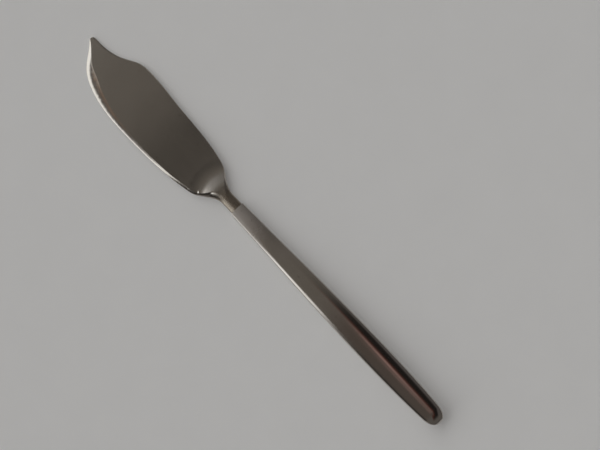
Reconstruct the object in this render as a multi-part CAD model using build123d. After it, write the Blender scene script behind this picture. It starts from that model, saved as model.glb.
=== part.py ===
"""Hollow-handle fish knife: forged blade, two pressed handle shells, braze line and tang cement."""

import os
from math import atan2, cos, degrees, radians, sin, sqrt, tan

from build123d import *

# Sizes in millimetres. x = 0 is the mouth of the handle, the blade points to -x, the spine to +y.

# Blade outline
BLADE_LENGTH = 88.8
TIP_HEIGHT = 4.65
TIP_WIDTH = 2.3
TIP_ROUND = 0.9
DIP_FROM_TIP = 9.8
DIP_HEIGHT = 6.65
RISE_FROM_TIP = 17.3
RISE_HEIGHT = 10.0
CREST_FROM_TIP = 26.3
CREST_HEIGHT = 12.5
BACK_FROM_TIP = 38.8
BACK_HEIGHT = 11.7
CHIN_FROM_TIP = 5.3
CHIN_HEIGHT = -2.5
CURVE_FROM_TIP = 13.8
CURVE_DEPTH = 8.65
BELLY_FROM_TIP = 37.8
BELLY_DEPTH = 12.0
HEEL_LENGTH = 17.0
HEEL_SPINE = 8.1
HEEL_EDGE = 8.9
NECK_LENGTH = 5.6

# Blade thickness and edges
TIP_THICKNESS = 1.0
HEEL_THICKNESS = 1.5
TIP_BULGE = 0.06
EDGE_ROLL = 8.0
SPINE_ROLL = 1.0
FULL_BULGE_FROM_MOUTH = 30.0
RAMP_FOOT = 17.8
RAMP_LENGTH = 6.0
RAMP_START_ANGLE = 3.0
RAMP_SINK = 0.05
NECK_LAND = 0.1

# Angles in degrees where the rolled spine and edge pass from one surface to the next
SPINE_SPLITS = (-90, -25, 0, 25, 90)
EDGE_SPLITS = (90, 170, 180, 190, 270)

# Handle
HANDLE_LENGTH = 116.2
HANDLE_WIDTH = 10.3
HANDLE_THICKNESS = 6.4
MOUTH_WIDTH = 6.5
MOUTH_THICKNESS = 4.0
MOUTH_FLARE = 0.022
WIDEST_FROM_MOUTH = 78.0
END_WIDTH = 8.5
END_THICKNESS = 5.8
END_TAPER = 0.07
END_ROUND = 5.7
FLAT_SHARE = 0.25
SIDE_ROUNDING = 0.75
WALL = 0.5
SEAM = 0.1

# Arcs that each crowned shoulder and each rounded side of the handle is drawn in
CROWN_ARCS = 4
SIDE_ARCS = 5

# Hidden fixing
FIT = 0.05
PLUG_LENGTH = 4.0
TANG_LENGTH = 34.0
TANG_WIDTH = 4.0
TANG_THICKNESS = 1.8
NOTCH_COUNT = 3
NOTCH_PITCH = 8.0
NOTCH_RADIUS = 0.8
CEMENT_GAP = 0.05
CEMENT_DEPTH = 40.0

# Values that follow from the sizes above
neck_half = MOUTH_WIDTH / 2 - WALL - FIT
neck_rise = MOUTH_THICKNESS / 2 - WALL - FIT
tip_x = -BLADE_LENGTH
cap_x = HANDLE_LENGTH - END_ROUND
across = Plane(origin=(0, 0, 0), x_dir=(0, 1, 0), z_dir=(1, 0, 0))


def curve_through(knots):
    """Smooth curve y(x) through (x, y, slope) knots, one cubic per stretch."""

    def height(x):
        index = 0
        while index < len(knots) - 2 and x > knots[index + 1][0]:
            index += 1
        x0, y0, m0 = knots[index]
        x1, y1, m1 = knots[index + 1]
        span = x1 - x0
        u = min(max((x - x0) / span, 0.0), 1.0)
        rise = 3 * u**2 - 2 * u**3
        start = m0 * span * (u - 2 * u**2 + u**3)
        finish = m1 * span * (u**3 - u**2)
        return y0 + (y1 - y0) * rise + start + finish

    return height


spine_y = curve_through([
    (tip_x, TIP_HEIGHT + TIP_WIDTH / 2, 0.03),
    (tip_x + DIP_FROM_TIP, DIP_HEIGHT, 0.25),
    (tip_x + RISE_FROM_TIP, RISE_HEIGHT, 0.69),
    (tip_x + CREST_FROM_TIP, CREST_HEIGHT, 0.0),
    (tip_x + BACK_FROM_TIP, BACK_HEIGHT, -0.11),
    (-HEEL_LENGTH, HEEL_SPINE, -0.26),
    (-NECK_LENGTH, neck_half, 0.0),
])

edge_y = curve_through([
    (tip_x, TIP_HEIGHT - TIP_WIDTH / 2, -0.6),
    (tip_x + CHIN_FROM_TIP, CHIN_HEIGHT, -1.3),
    (tip_x + CURVE_FROM_TIP, -CURVE_DEPTH, -0.385),
    (tip_x + BELLY_FROM_TIP, -BELLY_DEPTH, 0.0),
    (-HEEL_LENGTH, -HEEL_EDGE, 0.23),
    (-NECK_LENGTH, -neck_half, 0.0),
])

bulge = curve_through([
    (tip_x, TIP_THICKNESS / 2 + TIP_BULGE, 0.0),
    (-FULL_BULGE_FROM_MOUTH, neck_rise, 0.02),
    (-HEEL_LENGTH, neck_rise, 0.0),
])

spine_roll = curve_through([
    (tip_x, SPINE_ROLL, 0.0),
    (-HEEL_LENGTH, SPINE_ROLL, 0.0),
    (-NECK_LENGTH, 0.97 * neck_half, 0.0),
])

handle_half = curve_through([
    (0.0, MOUTH_WIDTH / 2, MOUTH_FLARE),
    (WIDEST_FROM_MOUTH, HANDLE_WIDTH / 2, 0.0),
    (cap_x, END_WIDTH / 2, -END_TAPER),
])

handle_rise = curve_through([
    (0.0, MOUTH_THICKNESS / 2, 0.014),
    (WIDEST_FROM_MOUTH, HANDLE_THICKNESS / 2, 0.0),
    (cap_x, END_THICKNESS / 2, -0.012),
])


def arcs(middle, width, rise, angles):
    """Arcs of one ellipse between the given angles."""
    pairs = zip(angles, angles[1:])
    return [EllipticalCenterArc((middle, 0), width, rise, start_angle=a, arc_size=b - a) for a, b in pairs]


def blade_section(x, grow=0.0):
    """Lens-shaped slice of the blade blank at x: flat middle, rolled spine and edge."""
    nose = max(TIP_ROUND - (x - tip_x), 0.0)
    inset = TIP_ROUND - sqrt(TIP_ROUND**2 - nose**2)
    top = spine_y(x) - inset + grow
    low = edge_y(x) + inset - grow
    half = (top - low) / 2
    spine = min(spine_roll(x) + grow, 0.97 * half)
    edge = min(EDGE_ROLL, 0.97 * half)
    rise = bulge(x) + grow
    outline = arcs(top - spine, spine, rise, SPINE_SPLITS)
    outline.append(Line((top - spine, rise), (low + edge, rise)))
    outline += arcs(low + edge, edge, rise, EDGE_SPLITS)
    outline.append(Line((low + edge, -rise), (top - spine, -rise)))
    return across.offset(x) * make_face(outline)


def blade_blank():
    """Forged lens-shaped blank from the tip to the mouth of the handle."""
    stations = [tip_x + TIP_ROUND * share for share in (0.05, 0.3, 0.7)]
    front = BLADE_LENGTH - HEEL_LENGTH - TIP_ROUND
    stations += [tip_x + TIP_ROUND + front * step / 22 for step in range(22)]
    heel = HEEL_LENGTH - NECK_LENGTH
    stations += [-HEEL_LENGTH + heel * step / 8 for step in range(8)]
    stations += [-NECK_LENGTH * (1 - step / 4) for step in range(5)]
    return loft([blade_section(x) for x in stations])


def plug():
    """End of the neck that enters the mouth of the handle."""
    return extrude(blade_section(0.0), amount=PLUG_LENGTH, dir=(1, 0, 0))


def ground_flats():
    """Wedge that grinds both faces of the blank flat."""
    tip = TIP_THICKNESS / 2
    heel = HEEL_THICKNESS / 2
    slope = (heel - tip) / (BLADE_LENGTH - RAMP_FOOT)
    front = tip - 5 * slope
    back = heel + RAMP_FOOT * slope
    profile = make_face(Polyline(
        (tip_x - 5, -front),
        (0, -back),
        (0, back),
        (tip_x - 5, front),
        close=True,
    ))
    reach = CREST_HEIGHT + BELLY_DEPTH
    return extrude(Plane.XZ.offset(-reach) * profile, amount=2 * reach)


def shoulder():
    """Round hollow ramp from the flats up to the top of the neck, turned about the mouth."""
    low = HEEL_THICKNESS / 2 - RAMP_SINK
    land = neck_rise - NECK_LAND
    top = neck_rise + NECK_LAND
    inner = RAMP_FOOT - RAMP_LENGTH
    middle = RAMP_FOOT - RAMP_LENGTH / 2
    bend = low + RAMP_LENGTH / 2 * tan(radians(RAMP_START_ANGLE))
    outline = [
        Line((0, -top), (inner, -land)),
        Bezier((inner, -land), (middle, -bend), (RAMP_FOOT, -low)),
        Line((RAMP_FOOT, -low), (RAMP_FOOT, low)),
        Bezier((RAMP_FOOT, low), (middle, bend), (inner, land)),
        Line((inner, land), (0, top)),
        Line((0, top), (0, -top)),
    ]
    return revolve(Plane.XZ * make_face(outline), Axis.Z)


def tang(grow=0.0):
    """Flat notched tang drawn from the neck's oval; grow widens it for the hole in the cement."""
    length = TANG_LENGTH - PLUG_LENGTH + 1 + grow
    bar = Box(
        length,
        TANG_WIDTH + 2 * grow,
        TANG_THICKNESS + 2 * grow,
        align=(Align.MIN, Align.CENTER, Align.CENTER),
    )
    neck_oval = across * Ellipse(neck_half + grow, neck_rise + grow)
    bar = Pos(PLUG_LENGTH - 1, 0, 0) * bar & extrude(neck_oval, amount=TANG_LENGTH + 1, dir=(1, 0, 0))
    for index in range(NOTCH_COUNT):
        x = TANG_LENGTH - NOTCH_PITCH * (index + 0.5)
        for side in (-1, 1):
            notch = Cylinder(NOTCH_RADIUS - grow, TANG_THICKNESS + 1)
            bar -= Pos(x, side * (TANG_WIDTH / 2 + grow), 0) * notch
    return bar


def blade():
    ground = blade_blank() & (ground_flats() + shoulder())
    return ground + plug() + tang()


def bow(centre, radius, start, finish, count):
    """Circular arc drawn in equal pieces."""
    piece = (finish - start) / count
    return [CenterArc(centre, radius, start + piece * step, piece) for step in range(count)]


def handle_slice(x, half, rise, inset=0.0):
    """Slice of the handle at x: flat middle, crowned shoulders and rounded sides, all tangent."""
    flat = FLAT_SHARE * half
    side = SIDE_ROUNDING * rise
    reach = half - side - flat
    crown = (reach**2 + rise**2 - side**2) / (2 * (rise - side))
    turn = degrees(atan2(reach, crown - rise))
    drop = crown - rise
    side -= inset
    crown -= inset
    top = rise - inset
    outline = bow((reach + flat, 0), side, turn - 90, 90 - turn, SIDE_ARCS)
    outline += bow((flat, -drop), crown, 90 - turn, 90, CROWN_ARCS)
    outline.append(Line((flat, top), (-flat, top)))
    outline += bow((-flat, -drop), crown, 90, 90 + turn, CROWN_ARCS)
    outline += bow((-reach - flat, 0), side, 90 + turn, 270 - turn, SIDE_ARCS)
    outline += bow((-flat, drop), crown, 270 - turn, 270, CROWN_ARCS)
    outline.append(Line((-flat, -top), (flat, -top)))
    outline += bow((flat, drop), crown, 270, 270 + turn, CROWN_ARCS)
    return across.offset(x) * make_face(outline)


def handle_outside():
    """Outer shape of the handle: tapered body and rounded end."""
    body = [cap_x * step / 6 for step in range(7)]
    body = loft([handle_slice(x, handle_half(x), handle_rise(x)) for x in body])
    cap = []
    for angle in (0, 25, 50, 70, 88):
        along = sin(radians(angle))
        shrink = cos(radians(angle))
        half = END_WIDTH / 2 * shrink - END_TAPER * END_ROUND * along * (1 - along)
        rise = END_THICKNESS / 2 * shrink
        cap.append(handle_slice(cap_x + END_ROUND * along, half, rise))
    return body + loft(cap)


def cavity(gap=0.0):
    """Hollow of the handle; gap makes it smaller all round for the cement that fills it."""
    inset = WALL + gap
    slices = [
        handle_slice(x, handle_half(x), handle_rise(x), inset)
        for x in (PLUG_LENGTH, WIDEST_FROM_MOUTH, cap_x)
    ]
    slices.append(handle_slice(HANDLE_LENGTH - 3 * WALL - gap, END_WIDTH / 4, END_THICKNESS / 4, inset))
    return loft(slices, ruled=True)


def socket():
    """Mouth of the handle, shaped to the plug with the fit all round."""
    return extrude(blade_section(0.0, FIT), amount=PLUG_LENGTH + FIT, dir=(1, 0, 0))


def hollow_handle():
    return handle_outside() - cavity() - socket()


def slab(bottom, top):
    """Wide box between two heights, used to part the handle along its seam."""
    box = Box(3 * HANDLE_LENGTH, 3 * HANDLE_WIDTH, top - bottom)
    return Pos(0, 0, (top + bottom) / 2) * box


def handle_front_shell():
    return hollow_handle() & slab(SEAM / 2, HANDLE_THICKNESS)


def handle_back_shell():
    return hollow_handle() & slab(-HANDLE_THICKNESS, -SEAM / 2)


def seam_braze():
    return hollow_handle() & slab(-SEAM / 2, SEAM / 2)


def tang_cement():
    length = CEMENT_DEPTH - PLUG_LENGTH - CEMENT_GAP
    span = Box(
        length,
        HANDLE_WIDTH,
        HANDLE_THICKNESS,
        align=(Align.MIN, Align.CENTER, Align.CENTER),
    )
    filling = cavity(CEMENT_GAP) & Pos(PLUG_LENGTH + CEMENT_GAP, 0, 0) * span
    return filling - tang(CEMENT_GAP)


def lie_down(pieces):
    """Lay the knife on z = 0, on its tip and handle, with its box centred on the origin."""
    tip_drop = TIP_THICKNESS / 2
    tilt = 0.0
    for step in range(101):
        x = WIDEST_FROM_MOUTH * step / 100
        drop = handle_rise(x) - tip_drop
        tilt = max(tilt, atan2(drop, x - tip_x))
    lowest = tip_x * sin(tilt) - tip_drop * cos(tilt)
    lying = {name: Rot(0, -degrees(tilt), 0) * piece for name, piece in pieces.items()}
    boxes = [piece.bounding_box() for piece in lying.values()]
    middle_x = (min(box.min.X for box in boxes) + max(box.max.X for box in boxes)) / 2
    middle_y = (min(box.min.Y for box in boxes) + max(box.max.Y for box in boxes)) / 2
    to_origin = Pos(-middle_x, -middle_y, -lowest)
    return {name: to_origin * piece for name, piece in lying.items()}


knife = lie_down({
    "blade": blade(),
    "handle_front_shell": handle_front_shell(),
    "handle_back_shell": handle_back_shell(),
    "seam_braze": seam_braze(),
    "tang_cement": tang_cement(),
})

os.makedirs("parts", exist_ok=True)
for name, piece in knife.items():
    export_step(piece, f"parts/{name}.step")
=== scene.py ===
from math import asin, atan2, cos, pi, radians, sin

import bmesh
import bpy
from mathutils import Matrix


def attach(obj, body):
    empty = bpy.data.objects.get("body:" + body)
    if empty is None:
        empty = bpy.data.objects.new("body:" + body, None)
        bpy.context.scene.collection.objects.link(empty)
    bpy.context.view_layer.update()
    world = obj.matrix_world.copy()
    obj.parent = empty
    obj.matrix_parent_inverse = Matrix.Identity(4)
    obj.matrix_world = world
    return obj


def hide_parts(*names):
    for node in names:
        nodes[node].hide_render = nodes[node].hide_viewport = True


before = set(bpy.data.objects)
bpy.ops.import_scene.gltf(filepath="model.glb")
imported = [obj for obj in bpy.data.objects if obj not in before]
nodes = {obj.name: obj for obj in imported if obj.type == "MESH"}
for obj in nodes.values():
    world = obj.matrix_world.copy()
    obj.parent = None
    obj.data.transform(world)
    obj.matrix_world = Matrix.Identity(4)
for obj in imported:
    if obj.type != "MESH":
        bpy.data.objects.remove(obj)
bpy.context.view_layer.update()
scene = bpy.context.scene
scene.view_settings.view_transform = "Standard"


# Camera: straight down, the knife running down to the right
# The view is VIEW_WIDTH wide at VIEW_LEVEL above the floor
VIEW_CENTRE = (0.00811, 0.01334)
VIEW_WIDTH = 0.2363
VIEW_LEVEL = 0.003
VIEW_TURN = radians(46.43)
CAMERA_HEIGHT = 0.55
SENSOR_WIDTH = 36.0

camera_data = bpy.data.cameras.new("camera")
camera_data.sensor_width = SENSOR_WIDTH
camera_data.lens = SENSOR_WIDTH * (CAMERA_HEIGHT - VIEW_LEVEL) / VIEW_WIDTH
camera = bpy.data.objects.new("camera", camera_data)
scene.collection.objects.link(camera)
camera.location = (*VIEW_CENTRE, CAMERA_HEIGHT)
camera.rotation_euler = (0, 0, VIEW_TURN)
scene.camera = camera


# Helpers for node trees
# Sockets of a mix node that serve colours
MIX_FACTOR = 0
MIX_FIRST = 6
MIX_SECOND = 7
MIX_RESULT = 2


class Tree:
    """Node tree of a world or material, with short ways to add and join nodes."""

    def __init__(self, owner):
        owner.use_nodes = True
        self.tree = owner.node_tree
        self.tree.nodes.clear()

    def add(self, kind, **settings):
        node = self.tree.nodes.new(kind)
        for name, value in settings.items():
            setattr(node, name, value)
        return node

    def link(self, source, target):
        self.tree.links.new(source, target)

    def feed(self, socket, value):
        """Link a socket to another, or set it to a plain value."""
        if isinstance(value, bpy.types.NodeSocket):
            self.link(value, socket)
        else:
            socket.default_value = value

    def math(self, operation, first, second=0.0):
        node = self.add("ShaderNodeMath", operation=operation)
        self.feed(node.inputs[0], first)
        self.feed(node.inputs[1], second)
        return node.outputs[0]

    def times(self, first, second):
        return self.math("MULTIPLY", first, second)

    def plus(self, first, second):
        return self.math("ADD", first, second)

    def fade(self, value, edge, low=0.0, high=1.0):
        """Smooth step from low to high, while value runs from edge[0] to edge[1]."""
        node = self.add("ShaderNodeMapRange", interpolation_type="SMOOTHSTEP")
        self.link(value, node.inputs["Value"])
        limits = {"From Min": edge[0], "From Max": edge[1], "To Min": low, "To Max": high}
        for name, limit in limits.items():
            node.inputs[name].default_value = limit
        return node.outputs["Result"]

    def inside(self, *fades):
        """Product of the fades of (value, edge) pairs."""
        product = self.fade(*fades[0])
        for value, edge in fades[1:]:
            product = self.times(product, self.fade(value, edge))
        return product

    def mix(self, factor, first, second):
        node = self.add("ShaderNodeMix", data_type="RGBA")
        self.feed(node.inputs[MIX_FACTOR], factor)
        self.feed(node.inputs[MIX_FIRST], first)
        self.feed(node.inputs[MIX_SECOND], second)
        return node.outputs[MIX_RESULT]

    def mix_shaders(self, factor, first, second):
        node = self.add("ShaderNodeMixShader")
        for socket, source in zip(node.inputs, (factor, first.outputs[0], second.outputs[0])):
            self.link(source, socket)
        return node.outputs[0]

    def noise(self, vector, scale, detail, rough=0.5):
        node = self.add("ShaderNodeTexNoise")
        self.link(vector, node.inputs["Vector"])
        for name, value in {"Scale": scale, "Detail": detail, "Roughness": rough}.items():
            node.inputs[name].default_value = value
        return node.outputs["Fac"]

    def stretched(self, vector, scale):
        node = self.add("ShaderNodeMapping")
        self.link(vector, node.inputs["Vector"])
        node.inputs["Scale"].default_value = scale
        return node.outputs["Vector"]

    def parts(self, vector):
        """The x, y and z of a vector."""
        node = self.add("ShaderNodeSeparateXYZ")
        self.link(vector, node.inputs[0])
        return node.outputs

    def bump(self, height, strength, distance):
        node = self.add("ShaderNodeBump")
        node.inputs["Strength"].default_value = strength
        node.inputs["Distance"].default_value = distance
        self.link(height, node.inputs["Height"])
        return node


def colour(red, green, blue):
    return (red, green, blue, 1.0)


def grey(level):
    return colour(level, level, level)


# World: a soft room in the directions that the steel reflects
# In a direction x is past the handle, y is to the spine side and z is up
# An edge is a pair: where a patch of the room begins and where it is full
PALE_WALL = colour(0.50, 0.49, 0.48)
WINDOW_LIGHT = colour(1.27, 1.27, 1.25)
BACKDROP = grey(0.50)

# Ceiling: a dim strip over the middle of the blade, and the zones beside it by their edge in x
CEILING_STRIP = colour(0.032, 0.029, 0.026)
CEILING_ZONES = {
    "heel": ((-0.124, -0.106), colour(0.160, 0.146, 0.130)),
    "handle": ((-0.02, 0.02), colour(0.094, 0.077, 0.067)),
    "handle_end": ((0.08, 0.50), colour(0.115, 0.105, 0.095)),
    "tip": ((-0.148, -0.166), colour(0.152, 0.138, 0.122)),
}

# Room beyond the tip, pale on the cutting side and dim on the spine side
BEYOND_START = (-0.23, -0.29)
BEYOND_SIDES = (0.20, -0.25)
BEYOND_DIM = colour(0.10, 0.092, 0.086)

# Pale walls low down, dimmer on the spine side and past the end of the handle
WALL_TOP = (0.50, 0.10)
WALL_SIDES = (-0.10, 0.30)
WALL_END = (0.40, 0.65)
SPINE_WALL = colour(0.17, 0.165, 0.16)
END_WALL = colour(0.10, 0.095, 0.09)

# Dark slanting flag on the spine side with a warm inner border
FLAG_SLANT = 0.35
BORDER_INNER = (0.005, 0.03)
BORDER_OUTER = (0.16, 0.10)
BORDER_START = (0.015, 0.05)
BORDER_END = (0.19, 0.09)
BORDER_TONE = colour(0.33, 0.21, 0.19)
FLAG_INNER = (0.05, 0.11)
FLAG_START = (-0.05, 0.01)
FLAG_END = (0.80, 0.50)
FLAG_BOTTOM = (0.22, 0.36)
FLAG_WARM = colour(0.085, 0.030, 0.022)
FLAG_ZONES = {
    "dark": ((0.07, 0.18), colour(0.015, 0.013, 0.012)),
    "outer": ((0.29, 0.36), colour(0.10, 0.092, 0.088)),
}

# Slanting window beyond the tip, with a dark frame and a warm border on the cutting side
WINDOW_SLANT = 0.43
WINDOW_START = (0.40, 0.48)
FRAME_SIDE = (-0.10, -0.18)
FRAME_END = (-0.12, -0.16)
FRAME_ZONES = {
    "border": ((0.25, 0.29), colour(0.30, 0.20, 0.14)),
    "frame": ((0.33, 0.36), colour(0.07, 0.06, 0.055)),
}

# Small soft panel beside the frame, which lights the cutting side of the heel
PANEL_INNER = (-0.075, -0.10)
PANEL_OUTER = (-0.155, -0.13)
PANEL_START = (-0.25, -0.28)
PANEL_LIGHT = colour(1.10, 1.09, 1.07)

# Narrow window down the cutting side, which draws the white line along the handle
NARROW_SIDE = (-0.34, -0.38)
NARROW_TIP_END = (-0.12, -0.085)
NARROW_HANDLE_END = (0.01, -0.03)

# Dark doorway on the cutting side, towards the end of the handle
DOOR_SIDE = (-0.32, -0.40)
DOOR_START = (0.01, 0.05)
DOOR_END = (0.45, 0.30)
DOOR_SILL = (0.10, 0.25)
DOOR_TONE = colour(0.040, 0.036, 0.033)


def make_world():
    """Room that lights the knife and the floor, with a plain pale backdrop that only the camera sees."""
    world = bpy.data.worlds.new("studio")
    scene.world = world
    tree = Tree(world)
    coords = tree.add("ShaderNodeTexCoord")
    x, y, z = tree.parts(coords.outputs["Generated"])
    across = tree.plus(y, tree.times(x, FLAG_SLANT))
    toward = tree.times(tree.plus(x, tree.times(y, WINDOW_SLANT)), -1.0)

    sky = CEILING_STRIP
    for edge, tone in CEILING_ZONES.values():
        sky = tree.mix(tree.fade(x, edge), sky, tone)

    beyond = tree.mix(tree.fade(y, BEYOND_SIDES), BEYOND_DIM, PALE_WALL)
    sky = tree.mix(tree.fade(x, BEYOND_START), sky, beyond)

    walls = tree.mix(tree.fade(y, WALL_SIDES), PALE_WALL, SPINE_WALL)
    walls = tree.mix(tree.fade(x, WALL_END), walls, END_WALL)
    sky = tree.mix(tree.fade(z, WALL_TOP), sky, walls)

    border = tree.inside((across, BORDER_INNER), (across, BORDER_OUTER), (x, BORDER_START), (x, BORDER_END))
    sky = tree.mix(border, sky, BORDER_TONE)
    shade = FLAG_WARM
    for edge, tone in FLAG_ZONES.values():
        shade = tree.mix(tree.fade(across, edge), shade, tone)
    flag = tree.inside((across, FLAG_INNER), (x, FLAG_START), (z, FLAG_BOTTOM), (x, FLAG_END))
    sky = tree.mix(flag, sky, shade)

    beside = tree.inside((y, FRAME_SIDE), (x, FRAME_END))
    for edge, tone in FRAME_ZONES.values():
        sky = tree.mix(tree.times(tree.fade(toward, edge), beside), sky, tone)
    panel = tree.inside((y, PANEL_INNER), (y, PANEL_OUTER), (x, PANEL_START))
    sky = tree.mix(panel, sky, PANEL_LIGHT)
    sky = tree.mix(tree.fade(toward, WINDOW_START), sky, WINDOW_LIGHT)
    narrow = tree.inside((y, NARROW_SIDE), (x, NARROW_TIP_END), (x, NARROW_HANDLE_END))
    sky = tree.mix(narrow, sky, WINDOW_LIGHT)

    door = tree.inside((y, DOOR_SIDE), (x, DOOR_START), (x, DOOR_END), (z, DOOR_SILL))
    sky = tree.mix(door, sky, DOOR_TONE)

    path = tree.add("ShaderNodeLightPath")
    light = tree.add("ShaderNodeBackground")
    tree.link(sky, light.inputs["Color"])
    backdrop = tree.add("ShaderNodeBackground")
    backdrop.inputs["Color"].default_value = BACKDROP
    out = tree.add("ShaderNodeOutputWorld")
    tree.link(tree.mix_shaders(path.outputs["Is Camera Ray"], light, backdrop), out.inputs["Surface"])


make_world()


# Floor: pale and matt, lifted a little where it is seen
FLOOR_SIZE = 6.0
FLOOR_TONES = (grey(0.80), grey(0.84))
FLOOR_GRAIN_SCALE = 60.0
FLOOR_GRAIN_DETAIL = 4.0
FLOOR_ROUGHNESS = 0.8
FLOOR_GLOW = grey(0.75)
FLOOR_LIFT = 0.12


def floor_material():
    material = bpy.data.materials.new("floor")
    tree = Tree(material)
    shader = tree.add("ShaderNodeBsdfPrincipled")
    coords = tree.add("ShaderNodeTexCoord")
    grain = tree.noise(coords.outputs["Object"], FLOOR_GRAIN_SCALE, FLOOR_GRAIN_DETAIL)
    tree.link(tree.mix(grain, *FLOOR_TONES), shader.inputs["Base Color"])
    shader.inputs["Roughness"].default_value = FLOOR_ROUGHNESS
    glow = tree.add("ShaderNodeEmission")
    glow.inputs["Color"].default_value = FLOOR_GLOW
    path = tree.add("ShaderNodeLightPath")
    seen = tree.math("MAXIMUM", path.outputs["Is Camera Ray"], path.outputs["Is Glossy Ray"])
    seen = tree.math("MAXIMUM", seen, path.outputs["Is Transmission Ray"])
    out = tree.add("ShaderNodeOutputMaterial")
    tree.link(tree.mix_shaders(tree.times(seen, FLOOR_LIFT), shader, glow), out.inputs["Surface"])
    return material


bpy.ops.mesh.primitive_plane_add(size=FLOOR_SIZE, location=(0, 0, 0))
floor = bpy.context.object
floor.name = "floor"
floor.data.materials.append(floor_material())


# Handle shells: finer than the CAD meshes, with the same length, widths, thicknesses and hollow
# Sizes are in millimetres, with x = 0 at the mouth
WIDEST = 78.0
CAP = 110.5
CAP_ROUND = 5.7
CAP_HALF = 4.25
CAP_RISE = 2.9
CAP_TAPER = 0.07
CAP_LIMIT = radians(85)
WALL = 0.5
SEAM = 0.1
PLUG = 4.0
PLUG_HALF = 2.75
PLUG_RISE = 1.5
HOLLOW_END = 114.7
SHARP_ANGLE = radians(30)

# Half width and half thickness at the mouth, the widest place and the cap, as (x, value, slope)
HALF_KNOTS = ((0.0, 3.25, 0.022), (WIDEST, 5.15, 0.0), (CAP, CAP_HALF, -CAP_TAPER))
RISE_KNOTS = ((0.0, 2.0, 0.014), (WIDEST, 3.2, 0.0), (CAP, CAP_RISE, -0.012))

# The hollow follows the CAD section: flat middle per half width, side rounds per half thickness
CAD_FLAT = 0.25
CAD_ROUND = 0.75

# The photo's reflections call for tighter sides outside than the CAD section has
GRIP_FLAT = 0.10
GRIP_ROUND = 0.36
GRIP_TILT = radians(10)

# Steps round a section, and along the handle: plug, body, cap round the hollow and solid end
FLAT_STEPS = 4
SIDE_STEPS = 14
CROWN_STEPS = 10
RING_POINTS = 2 * (SIDE_STEPS + CROWN_STEPS) + FLAT_STEPS + 1
PLUG_STEPS = 4
BODY_STEPS = 107
CAP_STEPS = 10
END_STEPS = 12

# How the CAD model lays the knife on the floor
TILT = 0.01757
MOUTH_PLACE = (-13.7138, -0.2493, 2.0600)
MM_PER_M = 1000


def lay(x, y, z):
    """Point of the knife in metres in the shared frame."""
    return (
        (MOUTH_PLACE[0] + x * cos(TILT) - z * sin(TILT)) / MM_PER_M,
        (MOUTH_PLACE[1] + y) / MM_PER_M,
        (MOUTH_PLACE[2] + x * sin(TILT) + z * cos(TILT)) / MM_PER_M,
    )


def along(knots, x):
    """Smooth curve through (x, value, slope) knots."""
    (x0, y0, slope0), (x1, y1, slope1) = knots[:2] if x <= knots[1][0] else knots[1:]
    span = x1 - x0
    u = min(max((x - x0) / span, 0.0), 1.0)
    ease = 3 * u**2 - 2 * u**3
    return y0 + (y1 - y0) * ease + span * (slope0 * (u - 2 * u**2 + u**3) + slope1 * (u**3 - u**2))


def halves(x):
    """Half width and half thickness of the handle at x."""
    return along(HALF_KNOTS, x), along(RISE_KNOTS, x)


def between(first, second, share):
    """Section that lies this share of the way from the first to the second."""
    pairs = zip(first, second)
    return [(y0 + (y1 - y0) * share, z0 + (z1 - z0) * share) for (y0, z0), (y1, z1) in pairs]


def section(right, flat, rise):
    """Upper half of a section: its spine side, the flat top and the mirrored cutting side."""
    top = [(flat * (1 - 2 * step / FLAT_STEPS), rise) for step in range(FLAT_STEPS + 1)]
    return right + top + [(-y, z) for y, z in reversed(right)]


def hollow_section(half, rise):
    """Upper half of the hollow, one wall inside a CAD section of this half width and thickness."""
    flat = CAD_FLAT * half
    side = CAD_ROUND * rise
    reach = half - side - flat
    crown = (reach**2 + rise**2 - side**2) / (2 * (rise - side))
    drop = crown - rise
    turn = atan2(reach, drop)
    side -= WALL
    crown -= WALL
    start = asin(SEAM / 2 / side)
    end = pi / 2 - turn
    right = []
    for step in range(SIDE_STEPS):
        angle = start + (end - start) * step / SIDE_STEPS
        right.append((reach + flat + side * cos(angle), side * sin(angle)))
    for step in range(CROWN_STEPS):
        angle = end + turn * step / CROWN_STEPS
        right.append((flat + crown * cos(angle), crown * sin(angle) - drop))
    return section(right, flat, rise - WALL)


def grip_section(half, rise):
    """Upper half of the outside: upright sides, tight rounds and a low crown."""
    flat = GRIP_FLAT * half
    side = GRIP_ROUND * rise
    reach = half - side * (1 - sin(GRIP_TILT))
    crown = (reach - flat) / sin(GRIP_TILT)
    centre = rise - crown * (1 - cos(GRIP_TILT)) - side * cos(GRIP_TILT)
    right = [(half, SEAM / 2)]
    for step in range(SIDE_STEPS - 1):
        angle = (pi / 2 - GRIP_TILT) * step / (SIDE_STEPS - 1)
        right.append((half - side + side * cos(angle), centre + side * sin(angle)))
    for step in range(CROWN_STEPS):
        tilt = GRIP_TILT * (1 - step / CROWN_STEPS)
        right.append((flat + crown * sin(tilt), rise - crown * (1 - cos(tilt))))
    return section(right, flat, rise)


def socket_section():
    """Upper half of the oval socket that takes the blade's plug."""
    start = asin(SEAM / 2 / PLUG_RISE)
    angles = [start + (pi - 2 * start) * step / (RING_POINTS - 1) for step in range(RING_POINTS)]
    return [(PLUG_HALF * cos(angle), PLUG_RISE * sin(angle)) for angle in angles]


def hollow_at(x):
    """Upper half of the hollow at x, straight between its sections at four places."""
    keys = [(key, hollow_section(*halves(key))) for key in (PLUG, WIDEST, CAP)]
    keys.append((HOLLOW_END, hollow_section(CAP_HALF / 2, CAP_RISE / 2)))
    for (x0, first), (x1, second) in zip(keys, keys[1:]):
        if x <= x1:
            return between(first, second, (x - x0) / (x1 - x0))
    return keys[-1][1]


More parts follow.
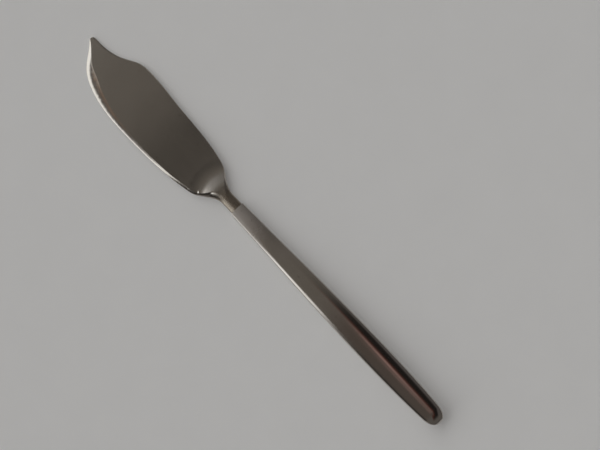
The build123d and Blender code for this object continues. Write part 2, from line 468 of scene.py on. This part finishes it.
def grip_stations():
    """Stations along the outside, each (x, section), the last ones round the closed end."""
    places = [PLUG * step / PLUG_STEPS for step in range(PLUG_STEPS)]
    places += [PLUG + (CAP - PLUG) * step / BODY_STEPS for step in range(BODY_STEPS + 1)]
    stations = [(x, grip_section(*halves(x))) for x in places]
    hollow_angle = asin((HOLLOW_END - CAP) / CAP_ROUND)
    end_angle = CAP_LIMIT - hollow_angle
    angles = [hollow_angle * step / CAP_STEPS for step in range(1, CAP_STEPS + 1)]
    angles += [hollow_angle + end_angle * step / END_STEPS for step in range(1, END_STEPS + 1)]
    for angle in angles:
        reach = sin(angle)
        half = CAP_HALF * cos(angle) - CAP_TAPER * CAP_ROUND * reach * (1 - reach)
        stations.append((CAP + CAP_ROUND * reach, grip_section(half, CAP_RISE * cos(angle))))
    return stations


def shell_mesh(name, sign):
    """Closed mesh of one half shell; sign is 1 for the front and -1 for the back."""
    build = bmesh.new()

    def rings(stations):
        return [[build.verts.new(lay(x, y, sign * z)) for y, z in points] for x, points in stations]

    def face(*corners):
        build.faces.new(corners if sign > 0 else corners[::-1])

    def strip(first, second):
        """Row of faces from the first ring to the second."""
        for i in range(end):
            face(first[i], second[i], second[i + 1], first[i + 1])

    stations = grip_stations()
    end = RING_POINTS - 1
    last = PLUG_STEPS + BODY_STEPS + CAP_STEPS
    outer = rings(stations)
    socket = rings([(x, socket_section()) for x, points in stations[:PLUG_STEPS + 1]])
    hollow = rings([(x, hollow_at(x)) for x, points in stations[PLUG_STEPS:last + 1]])

    # Outside, inside, the mouth's rim, the step behind the socket and both ends
    for first, second in zip(outer, outer[1:]):
        strip(first, second)
    for inner in (socket, hollow):
        for first, second in zip(inner, inner[1:]):
            strip(second, first)
    strip(socket[0], outer[0])
    strip(hollow[0], socket[-1])
    face(*reversed(hollow[-1]))
    face(*outer[-1])

    # Flat faces along the seam, on the spine side and on the cutting side
    seam = [[first, second] for first, second in zip(socket, socket[1:])]
    seam[-1].append(hollow[0])
    seam += [[first, second] for first, second in zip(hollow, hollow[1:])]
    for inner, first, second in zip(seam, outer, outer[1:]):
        for side, turn in ((0, 1), (end, -1)):
            rim = [ring[side] for ring in (*inner, second, first)]
            face(*rim[::turn])

    # Flat faces of the solid end
    corner = (hollow[-1], outer[last], outer[last + 1])
    face(*[ring[end] for ring in corner], *[ring[0] for ring in reversed(corner)])
    for first, second in zip(outer[last + 1:], outer[last + 2:]):
        face(first[0], first[end], second[end], second[0])

    bmesh.ops.recalc_face_normals(build, faces=build.faces)
    mesh = bpy.data.meshes.new(name)
    build.to_mesh(mesh)
    build.free()
    mesh.polygons.foreach_set("use_smooth", [True] * len(mesh.polygons))
    mesh.set_sharp_from_angle(angle=SHARP_ANGLE)
    return mesh


def shell(name, node, sign):
    """Half shell that takes the place of a CAD node."""
    piece = bpy.data.objects.new(name, shell_mesh(name, sign))
    scene.collection.objects.link(piece)
    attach(piece, "root")
    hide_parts(node)
    return piece


front = shell("front_shell", "handle_front_shell", 1)
back = shell("back_shell", "handle_back_shell", -1)


# Steel: faint lengthwise grain, thin stains and a few specks
GRAIN_STRETCH = (90.0, 5000.0, 5000.0)
GRAIN_DETAIL = 3.0
GRAIN_NOISE = 0.6
GRAIN_EDGE = (0.50, 0.80)
GRAIN_SHARE = 0.20
GRAIN_BUMP = 0.03
GRAIN_DEPTH = 0.00001
STAIN_SCALE = 55.0
STAIN_DETAIL = 3.0
STAIN_EDGE = (0.35, 0.7)
SPECK_SCALE = 600.0
SPECK_DETAIL = 2.0
SPECK_EDGE = (0.67, 0.73)
SPECK_SHARE = 0.45
SPECK_TONE = colour(0.36, 0.32, 0.27)
ROUGH_EDGE = (0.3, 0.7)

# The neck is browner and darker in colour; it is also duller, where polishing hardly reaches
NECK_EDGE = (-0.0255, -0.0205)
NECK_SHARE = 0.85
NECK_TONE = colour(0.33, 0.285, 0.23)
NECK_DULLING = 0.16

# The handle turns satin over this stretch, up to its mouth
SATIN_EDGE = (0.017, -0.0137)

# Polishing softens the foot and the crest of the round shoulder, by their radius round the mouth
SHOULDER_CENTRE = (-0.01371, -0.00025)
FOOT_RADIUS = 0.01692
FOOT_REACH = 0.005
CREST_RADIUS = 0.0118
CREST_REACH = 0.0025
CREST_SHARE = 1.1
SHOULDER_DEPTH = 0.0000813


def surface(name):
    """New material with its tree, its surface shader and places on the piece."""
    material = bpy.data.materials.new(name)
    tree = Tree(material)
    shader = tree.add("ShaderNodeBsdfPrincipled")
    out = tree.add("ShaderNodeOutputMaterial")
    tree.link(shader.outputs[0], out.inputs["Surface"])
    place = tree.add("ShaderNodeTexCoord").outputs["Object"]
    return material, tree, shader, place


def soft_ring(tree, far, radius, reach):
    """Ridge round the mouth: 1 at the radius, falling to 0 at this reach from it."""
    off = tree.math("ABSOLUTE", tree.math("SUBTRACT", far, radius))
    ease = tree.math("MAXIMUM", tree.math("SUBTRACT", 1.0, tree.times(off, 1 / reach)), 0.0)
    return tree.times(ease, ease)


def soft_shoulder(tree, x, y):
    """Bump that raises the foot of the shoulder and lowers its crest."""
    dx = tree.math("SUBTRACT", x, SHOULDER_CENTRE[0])
    dy = tree.math("SUBTRACT", y, SHOULDER_CENTRE[1])
    far = tree.math("SQRT", tree.plus(tree.times(dx, dx), tree.times(dy, dy)))
    foot = soft_ring(tree, far, FOOT_RADIUS, FOOT_REACH)
    crest = soft_ring(tree, far, CREST_RADIUS, CREST_REACH)
    height = tree.math("SUBTRACT", foot, tree.times(crest, CREST_SHARE))
    return tree.bump(height, 1.0, SHOULDER_DEPTH)


def steel(name, base, dark, polish, mouth_satin=0.0, necked=False):
    """Stainless steel; polish is its least and greatest roughness."""
    material, tree, shader, place = surface(name)
    x, y = tree.parts(place)[:2]
    grain = tree.noise(tree.stretched(place, GRAIN_STRETCH), 1.0, GRAIN_DETAIL, GRAIN_NOISE)
    stain = tree.noise(place, STAIN_SCALE, STAIN_DETAIL)
    speck = tree.fade(tree.noise(place, SPECK_SCALE, SPECK_DETAIL), SPECK_EDGE)
    tone = tree.mix(tree.fade(stain, STAIN_EDGE), base, dark)
    tone = tree.mix(tree.fade(grain, GRAIN_EDGE, 0.0, GRAIN_SHARE), tone, dark)
    tone = tree.mix(tree.times(speck, SPECK_SHARE), tone, SPECK_TONE)
    rough = tree.plus(tree.times(grain, 0.5), tree.times(stain, 0.5))
    rough = tree.fade(rough, ROUGH_EDGE, *polish)
    bump = tree.bump(grain, GRAIN_BUMP, GRAIN_DEPTH)
    if necked:
        neck = tree.fade(x, NECK_EDGE)
        tone = tree.mix(tree.times(neck, NECK_SHARE), tone, NECK_TONE)
        rough = tree.plus(rough, tree.times(neck, NECK_DULLING))
        tree.link(soft_shoulder(tree, x, y).outputs[0], bump.inputs["Normal"])
    if mouth_satin:
        rough = tree.plus(rough, tree.fade(x, SATIN_EDGE, 0.0, mouth_satin))
    shader.inputs["Metallic"].default_value = 1.0
    tree.link(tone, shader.inputs["Base Color"])
    tree.link(rough, shader.inputs["Roughness"])
    tree.link(bump.outputs[0], shader.inputs["Normal"])
    return material


# Braze and cement: mottled, and hidden apart from the braze's thin line
MOTTLE_DETAIL = 5.0
MOTTLE_NOISE = 0.65
MOTTLE_EDGE = (0.3, 0.7)
MOTTLE_DULLING = 0.08


def mottled(name, tones, scale, metallic, roughness):
    material, tree, shader, place = surface(name)
    mottle = tree.noise(place, scale, MOTTLE_DETAIL, MOTTLE_NOISE)
    tree.link(tree.mix(mottle, *tones), shader.inputs["Base Color"])
    rough = tree.fade(mottle, MOTTLE_EDGE, roughness - MOTTLE_DULLING, roughness + MOTTLE_DULLING)
    tree.link(rough, shader.inputs["Roughness"])
    shader.inputs["Metallic"].default_value = metallic
    return material


blade_finish = steel(
    "blade_satin",
    base=colour(0.59, 0.56, 0.52),
    dark=colour(0.55, 0.52, 0.48),
    polish=(0.10, 0.14),
    necked=True,
)
handle_finish = steel(
    "handle_polish",
    base=colour(0.60, 0.57, 0.54),
    dark=colour(0.56, 0.53, 0.49),
    polish=(0.08, 0.12),
    mouth_satin=0.26,
)
braze_finish = mottled(
    "braze",
    tones=(colour(0.60, 0.56, 0.46), colour(0.66, 0.61, 0.50)),
    scale=900.0,
    metallic=1.0,
    roughness=0.25,
)
cement_finish = mottled(
    "cement",
    tones=(colour(0.50, 0.47, 0.41), colour(0.60, 0.57, 0.51)),
    scale=1200.0,
    metallic=0.0,
    roughness=0.85,
)
finishes = {
    "blade": blade_finish,
    "handle_front_shell": handle_finish,
    "handle_back_shell": handle_finish,
    "seam_braze": braze_finish,
    "tang_cement": cement_finish,
}
for name, material in finishes.items():
    for slot in nodes[name].material_slots:
        slot.material = material
for piece in (front, back):
    piece.data.materials.append(handle_finish)
